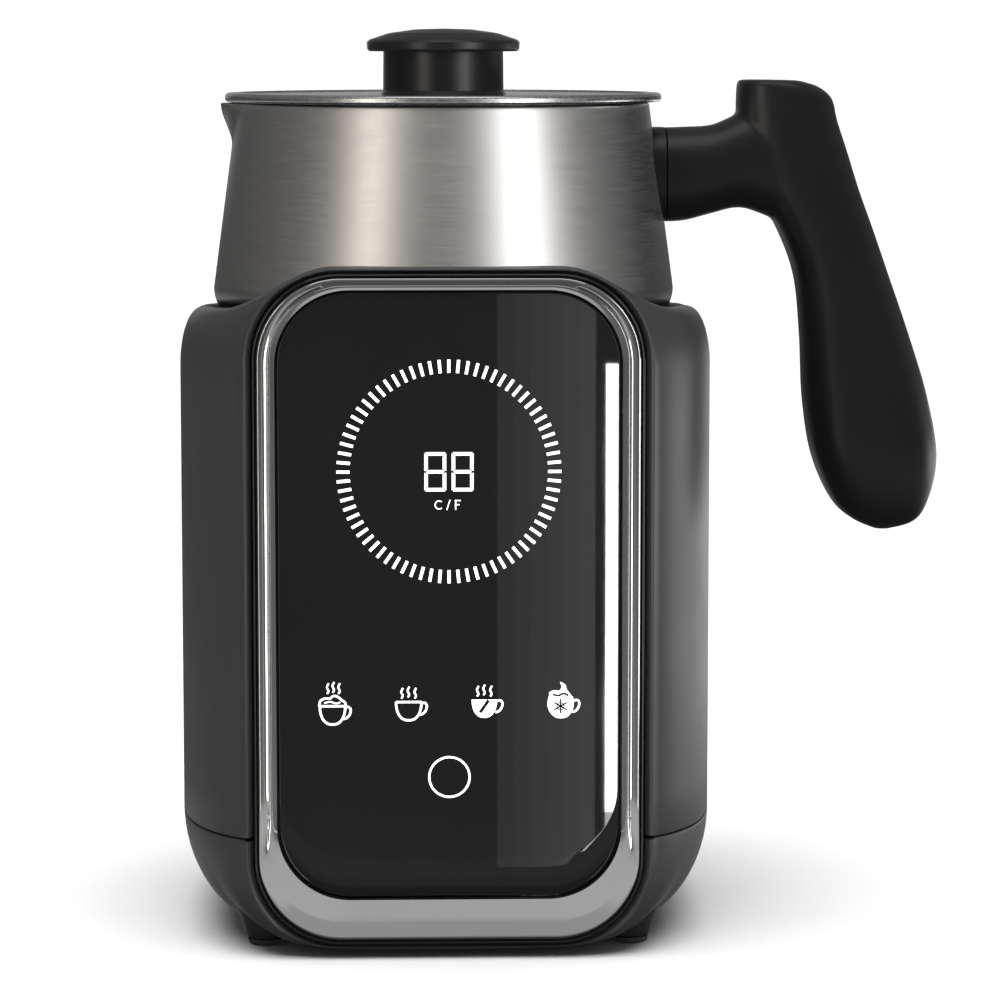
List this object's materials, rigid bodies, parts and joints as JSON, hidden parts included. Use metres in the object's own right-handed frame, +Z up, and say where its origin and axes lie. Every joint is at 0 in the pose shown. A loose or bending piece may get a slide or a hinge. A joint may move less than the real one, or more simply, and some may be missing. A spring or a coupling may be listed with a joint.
{
  "type": "milk frother",
  "caption": "Induction milk frother: a heating base with a glass touch panel and a lift-off steel jug with lid, handle and magnetic whisk.",
  "frame": {"origin": "on the worktop, under the middle of the whole object's box (the handle makes the jug's axis lie at x = -29.5 mm, y = +2.5 mm)", "axes": "+Z up along the jug's axis, -Y out of the front panel, +X towards the handle"},
  "size_m": [0.1891, 0.139, 0.219],
  "materials": {
    "housing_plastic": "satin, fine-grained moulded plastic, dark grey",
    "lower_plastic": "satin moulded plastic, near black",
    "bezel_plastic": "gloss black",
    "chrome_trim": "polished",
    "panel_glass": "gloss black printed glass",
    "display_light": "white, lit from behind",
    "jug_steel": "brushed round the jug",
    "lid_steel": "brushed",
    "handle_plastic": "satin black",
    "knob_plastic": "satin black",
    "rubber": "matt",
    "seal_silicone": "matt silicone",
    "copper_wire": "lacquered copper wire",
    "circuit_board": "green solder mask",
    "aluminium": "satin",
    "ferrite": "dull, dark sintered ferrite",
    "magnet": "nickel-plated magnet",
    "inner_plastic": "plain moulded plastic",
    "black_plastic": "plain moulded plastic",
    "screw_steel": "zinc-plated"
  },
  "bodies": {
    "base": {"main_housing": "housing_plastic", "lower_housing": "lower_plastic", "front_bezel": "bezel_plastic", "chrome_trim": "chrome_trim", "touch_glass": "panel_glass", "display_board": "circuit_board", "dial_light_guide": "display_light", "digit_module": "display_light", "jug_well": "black_plastic", "seat_ring": "seal_silicone", "coil_carrier": "black_plastic", "induction_coil": "copper_wire", "ferrite_bar_1": "ferrite", "ferrite_bar_2": "ferrite", "ferrite_bar_3": "ferrite", "ferrite_bar_4": "ferrite", "motor_body": "screw_steel", "motor_bracket": "aluminium", "power_board": "circuit_board", "heat_sink": "aluminium", "filter_capacitor": "black_plastic", "filter_choke": "copper_wire", "fan_frame": "black_plastic", "sensor_holder": "inner_plastic", "sensor_spring": "screw_steel", "cord_gland": "rubber", "housing_screw_1": "screw_steel", "housing_screw_2": "screw_steel", "housing_screw_3": "screw_steel", "housing_screw_4": "screw_steel", "foot_front_left": "black_plastic", "foot_pad_front_left": "rubber", "foot_front_right": "black_plastic", "foot_pad_front_right": "rubber", "foot_rear_left": "black_plastic", "foot_pad_rear_left": "rubber", "foot_rear_right": "black_plastic", "foot_pad_rear_right": "rubber"},
    "fan": {"fan_rotor": "black_plastic"},
    "rotor": {"motor_shaft": "screw_steel", "drive_hub": "inner_plastic", "drive_magnet_1": "magnet", "drive_magnet_2": "magnet"},
    "sensor": {"sensor_cap": "aluminium"},
    "jug": {"jug_shell": "jug_steel", "handle_collar": "handle_plastic", "handle_grip": "handle_plastic", "handle_screw_1": "screw_steel", "handle_screw_2": "screw_steel", "whisk_pin": "screw_steel"},
    "lid": {"lid_disc": "lid_steel", "lid_gasket": "seal_silicone", "knob_post": "knob_plastic", "knob_cap": "knob_plastic", "knob_screw": "screw_steel"},
    "carrier": {"whisk_carrier": "inner_plastic", "whisk_magnet_1": "magnet", "whisk_magnet_2": "magnet"},
    "stirrer": {"whisk": "screw_steel"}
  },
  "joints": [
    {"name": "jug_lift", "type": "slide", "parent": "base", "child": "jug", "axis": [0, 0, 1], "range_m": [0, 0.1]},
    {"name": "lid_lift", "type": "slide", "parent": "jug", "child": "lid", "axis": [0, 0, 1], "range_m": [0, 0.05]},
    {"name": "rotor_spin", "type": "hinge", "parent": "base", "child": "rotor", "pos_m": [-0.0295, 0.0025, 0.07], "axis": [0, 0, 1], "continuous": true},
    {"name": "whisk_spin", "type": "hinge", "parent": "jug", "child": "carrier", "pos_m": [-0.0295, 0.0025, 0.092], "axis": [0, 0, 1], "continuous": true},
    {"name": "whisk_lift", "type": "slide", "parent": "carrier", "child": "stirrer", "axis": [0, 0, 1], "range_m": [0, 0.06]},
    {"name": "fan_spin", "type": "hinge", "parent": "base", "child": "fan", "pos_m": [-0.0295, 0.0025, 0.012], "axis": [0, 0, 1], "continuous": true},
    {"name": "sensor_plunge", "type": "slide", "parent": "base", "child": "sensor", "axis": [0, 0, 1], "range_m": [-0.0015, 0], "stiffness_N_per_m": 60, "springref_m": 0.003, "deforming": ["sensor_spring"]}
  ],
  "couplings": [
    {"joint": "rotor_spin", "follows": "whisk_spin", "ratio": 1}
  ]
}
